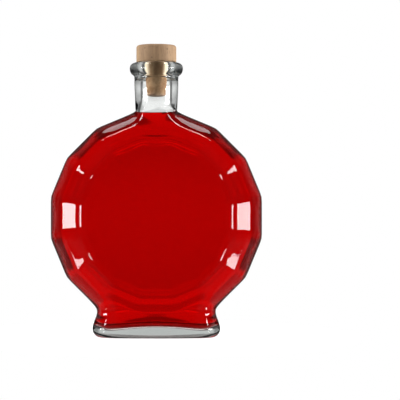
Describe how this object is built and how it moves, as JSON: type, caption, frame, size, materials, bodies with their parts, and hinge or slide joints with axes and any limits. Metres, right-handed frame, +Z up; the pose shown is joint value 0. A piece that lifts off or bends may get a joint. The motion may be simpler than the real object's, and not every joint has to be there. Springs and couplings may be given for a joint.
{
  "type": "faceted glass flask of red drink with cork stopper",
  "caption": "Flat round glass flask with facets round its edge, on an oblong foot, filled with a clear red drink and shut with a wood and cork stopper.",
  "frame": {"origin": "centre of the flask's underside, on the surface that it stands on", "axes": "+Z up through the neck, -Y out of the flat front panel, +X along the flask's width to its right as seen from the front"},
  "size_m": [0.13, 0.044, 0.1792],
  "materials": {
    "clear_glass": "gloss",
    "red_drink": "gloss",
    "grip_wood": "matte",
    "cork": "matte"
  },
  "bodies": {
    "root": {"bottle": "clear_glass", "liquid": "red_drink", "stopper_grip": "grip_wood", "stopper_cork": "cork"}
  },
  "joints": []
}
